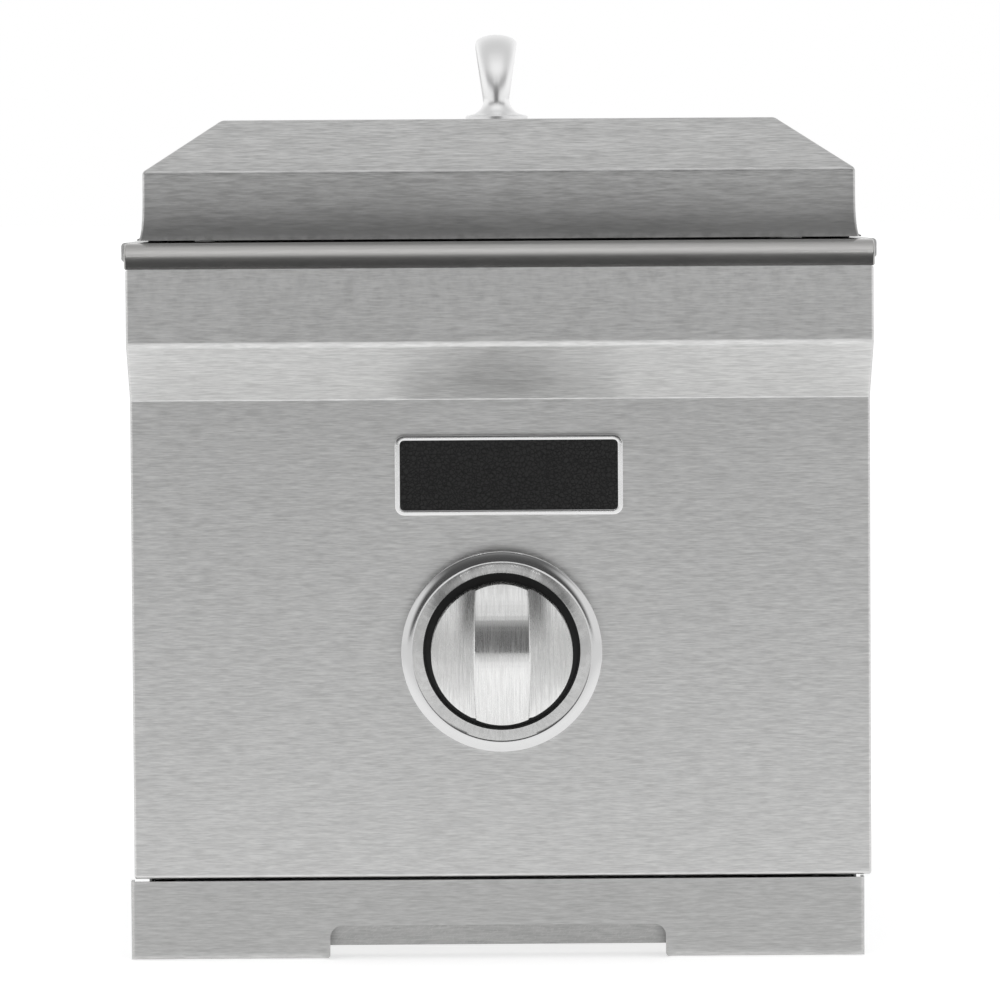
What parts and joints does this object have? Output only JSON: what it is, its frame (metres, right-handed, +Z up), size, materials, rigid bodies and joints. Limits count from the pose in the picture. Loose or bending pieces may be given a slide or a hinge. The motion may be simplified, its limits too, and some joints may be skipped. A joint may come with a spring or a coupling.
{
  "type": "built in side burner",
  "caption": "Drop-in gas side burner for an outdoor kitchen: steel box with a fascia, control knob, lift-off lid with a bow handle, grate, burner and pull-out drip tray.",
  "frame": {"origin": "middle of the box's base, on the surface that it stands on", "axes": "+Z up, -Y towards the user (the knob side), +X to the user's right"},
  "size_m": [0.3124, 0.533, 0.3869],
  "materials": {
    "fascia_steel": "fine horizontal grain",
    "lid_steel": "fine grain along the width",
    "tray_steel": "fine horizontal grain",
    "deck_steel": "fine grain",
    "box_sheet": "dull mill finish",
    "chrome": "bright plated",
    "knob_finish": "satin plated",
    "badge_black": "black grained field in a bright rim",
    "fastener_steel": "zinc plated",
    "insert_plastic": "black heat-proof resin",
    "pad_rubber": "matt",
    "cast_iron": "matt black enamel",
    "cast_alloy": "sand cast",
    "tube_steel": "drawn",
    "brass": "machined",
    "stem_steel": "turned",
    "tube_alloy": "drawn",
    "ceramic": "glazed ceramic",
    "lead_sleeve": "silicone sleeve"
  },
  "bodies": {
    "box": {"badge_plate": "badge_black", "badge_push_nuts": "fastener_steel", "burner_base": "cast_alloy", "burner_bowl": "deck_steel", "burner_head": "brass", "burner_screws": "fastener_steel", "deck_frame": "deck_steel", "electrode_bracket": "box_sheet", "electrode_bracket_screw": "fastener_steel", "electrode_insulator": "ceramic", "feed_flare_nut": "brass", "feed_tube": "tube_alloy", "front_panel": "fascia_steel", "gas_inlet_fitting": "brass", "gas_inlet_locknut": "brass", "heat_shield": "box_sheet", "ignition_lead": "lead_sleeve", "knob_bezel": "chrome", "left_side_wall": "box_sheet", "left_tray_runner": "box_sheet", "mixing_tube": "tube_steel", "orifice_bracket": "box_sheet", "orifice_holder": "brass", "orifice_spud": "brass", "rear_panel": "box_sheet", "rear_panel_screws": "fastener_steel", "right_side_wall": "box_sheet", "right_tray_runner": "box_sheet", "spark_electrode": "fastener_steel", "spark_igniter": "insert_plastic", "supply_flare_nut": "brass", "supply_tube": "tube_alloy", "valve_body": "brass", "valve_bonnet": "cast_alloy", "valve_screws": "fastener_steel"},
    "lid": {"lid_shell": "lid_steel", "lid_handle": "chrome", "lid_handle_screws": "fastener_steel", "lid_handle_washers": "fastener_steel", "lid_bumpers": "pad_rubber"},
    "drip_tray": {"tray_front": "tray_steel", "tray_pan": "tray_steel", "tray_nuts": "fastener_steel"},
    "plug": {"valve_plug": "brass"},
    "knob": {"control_knob": "knob_finish", "knob_insert": "insert_plastic", "valve_stem": "stem_steel", "stem_spring": "fastener_steel"},
    "shutter": {"air_shutter": "tube_steel", "air_shutter_screw": "fastener_steel"},
    "grate": {"cooking_grate": "cast_iron"},
    "cap": {"burner_cap": "cast_iron"}
  },
  "joints": [
    {"name": "lid_lift", "type": "slide", "parent": "box", "child": "lid", "axis": [0, 0, 1], "range_m": [0, 0.2]},
    {"name": "tray_slide", "type": "slide", "parent": "box", "child": "drip_tray", "axis": [0, -1, 0], "range_m": [0, 0.35]},
    {"name": "knob_turn", "type": "hinge", "parent": "box", "child": "plug", "pos_m": [0, -0.2, 0.128], "axis": [0, -1, 0], "range_deg": [0, 210]},
    {"name": "knob_push", "type": "slide", "parent": "plug", "child": "knob", "axis": [0, 1, 0], "range_m": [0, 0.0045], "stiffness_N_per_m": 900, "springref_m": -0.004, "deforming": ["stem_spring"]},
    {"name": "shutter_turn", "type": "hinge", "parent": "box", "child": "shutter", "pos_m": [0, 0.0005, 0.205], "axis": [0, 1, 0], "range_deg": [0, 45]},
    {"name": "grate_lift", "type": "slide", "parent": "box", "child": "grate", "axis": [0, 0, 1], "range_m": [0, 0.03]},
    {"name": "cap_lift", "type": "slide", "parent": "box", "child": "cap", "axis": [0, 0, 1], "range_m": [0, 0.02]}
  ]
}
